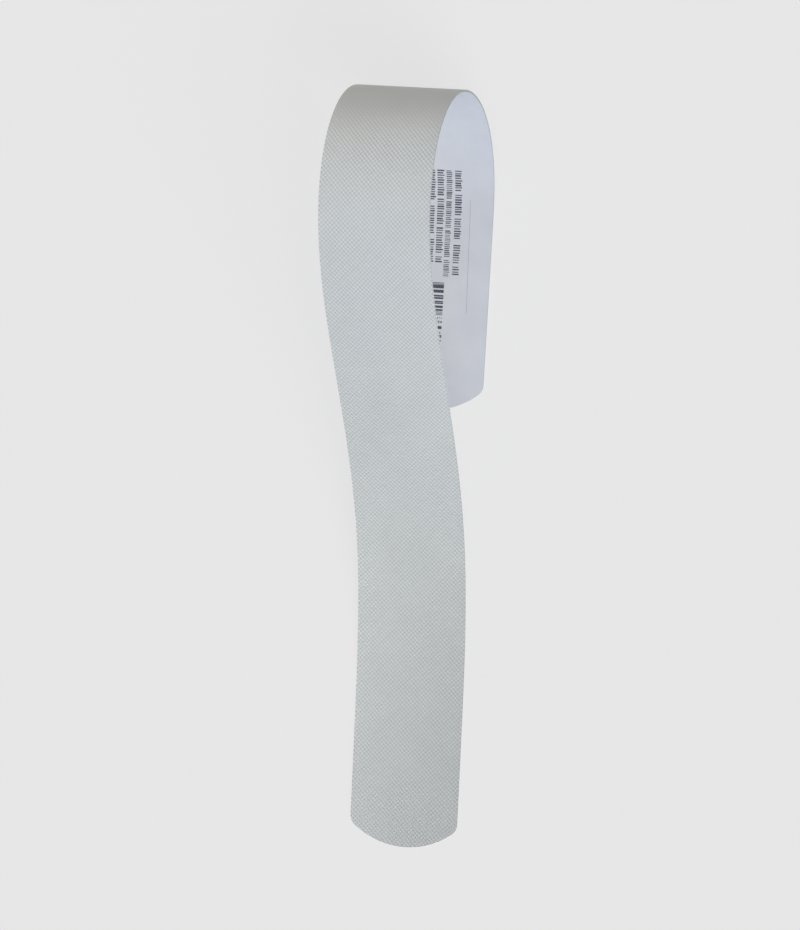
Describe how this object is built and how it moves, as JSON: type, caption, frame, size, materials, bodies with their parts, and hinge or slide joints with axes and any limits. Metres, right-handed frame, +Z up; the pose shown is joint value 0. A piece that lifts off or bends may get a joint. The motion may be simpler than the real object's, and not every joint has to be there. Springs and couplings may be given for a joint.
{
  "type": "bicycle frame protector",
  "caption": "Long stick-on strip of diagonally embossed film on a paper release liner, with rounded ends, lying on a table with one end sprung over into a loop.",
  "frame": {"origin": "middle of the footprint, on the table that the strip lies on", "axes": "+Z up, +Y along the strip from its flat tail to its loop, +X across the strip"},
  "size_m": [0.0378, 0.2348, 0.0568],
  "materials": {
    "film": "satin, finely embossed",
    "liner": "smooth, slightly glossy"
  },
  "bodies": {
    "root": {"protective_film": "film", "release_liner": "liner"}
  },
  "joints": []
}
